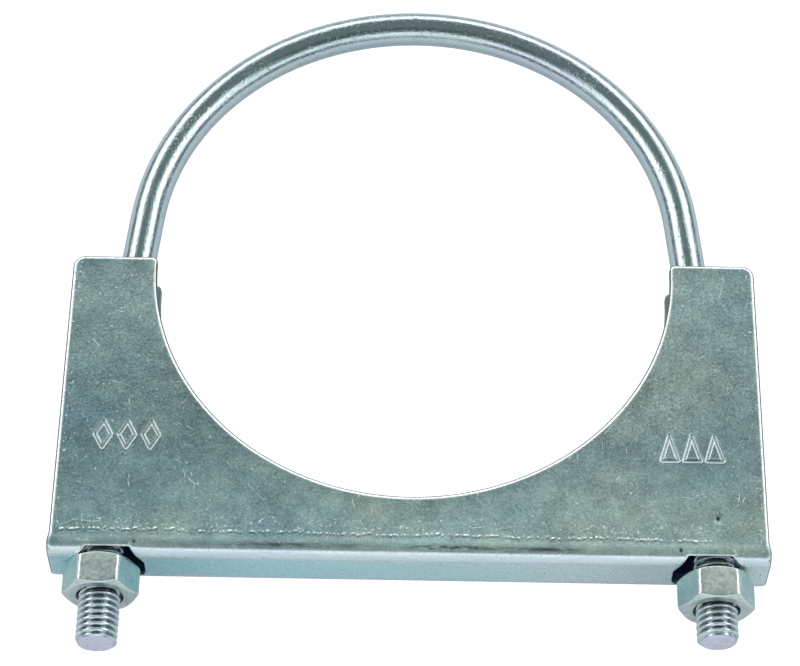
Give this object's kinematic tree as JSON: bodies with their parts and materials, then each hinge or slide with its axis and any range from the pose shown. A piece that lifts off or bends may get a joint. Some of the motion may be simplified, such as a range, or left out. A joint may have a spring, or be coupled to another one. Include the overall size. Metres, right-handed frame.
{
  "type": "u-bolt pipe clamp",
  "caption": "Zinc-plated U-bolt clamp with a folded sheet saddle and plain hex nuts, which closes round a pipe or exhaust tube.",
  "frame": {"origin": "centre of the saddle's pipe seat, halfway through the saddle's depth", "axes": "+Z along the pipe's axis and up from the table with the clamp lying on the saddle's back plate, +X across the clamp to the right, +Y towards the U-bolt's ring, so its legs point to -Y"},
  "size_m": [0.136, 0.1481, 0.013],
  "materials": {
    "saddle_zinc": "pressed zinc-plated sheet, satin, mottled blue-grey",
    "bolt_zinc": "bright zinc-plated rod with rolled threads",
    "nut_zinc": "zinc-plated, semi-matte flats"
  },
  "bodies": {
    "saddle": {"saddle": "saddle_zinc"},
    "u_bolt": {"u_bolt": "bolt_zinc"},
    "nut_left": {"nut_left": "nut_zinc"},
    "nut_right": {"nut_right": "nut_zinc"}
  },
  "joints": [
    {"name": "ubolt_slide", "type": "slide", "parent": "saddle", "child": "u_bolt", "axis": [0, -1, 0], "range_m": [-0.00646, 0.01021]},
    {"name": "nut_left_spin", "type": "hinge", "parent": "saddle", "child": "nut_left", "pos_m": [-0.0579, -0.06685, 0], "axis": [0, 1, 0], "range_deg": [-1860, 2940]},
    {"name": "nut_right_spin", "type": "hinge", "parent": "saddle", "child": "nut_right", "pos_m": [0.0579, -0.0677, 0], "axis": [0, 1, 0], "range_deg": [-1860, 2940]}
  ],
  "couplings": [
    {"joint": "nut_left_spin", "follows": "ubolt_slide", "rad_per_m": 5026.5},
    {"joint": "nut_right_spin", "follows": "ubolt_slide", "rad_per_m": 5026.5}
  ]
}
